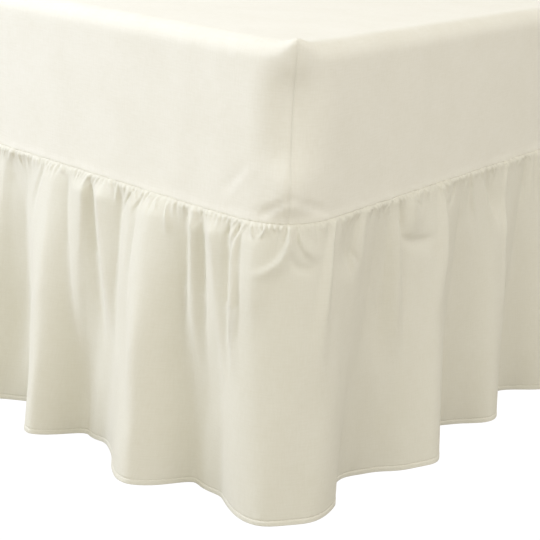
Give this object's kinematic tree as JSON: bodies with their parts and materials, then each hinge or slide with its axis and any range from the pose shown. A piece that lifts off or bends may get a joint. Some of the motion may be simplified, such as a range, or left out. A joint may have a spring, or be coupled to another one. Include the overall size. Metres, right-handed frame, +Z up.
{
  "type": "bed skirt on a mattress and bed base",
  "caption": "Smooth fitted cover with a gathered frill sewn round its lower edge, over a rounded mattress on a plain base; the frill flares in soft uneven folds to just above the floor.",
  "frame": {"origin": "on the floor, under the middle of the box round the whole part", "axes": "+X across the bed, +Y along the bed from the foot end to the head end, +Z up"},
  "size_m": [1.5494, 2.094, 0.6435],
  "materials": {
    "cream_cotton": "plain-woven cotton, soft and matt",
    "mattress_ticking": "plain ticking, matt",
    "base_fabric": "plain woven, matt",
    "foot_plastic": "moulded, matt"
  },
  "bodies": {
    "root": {"fitted_cover": "cream_cotton", "frill": "cream_cotton", "mattress": "mattress_ticking", "bed_base": "base_fabric", "foot_1": "foot_plastic", "foot_2": "foot_plastic", "foot_3": "foot_plastic", "foot_4": "foot_plastic", "foot_5": "foot_plastic", "foot_6": "foot_plastic"}
  },
  "joints": []
}
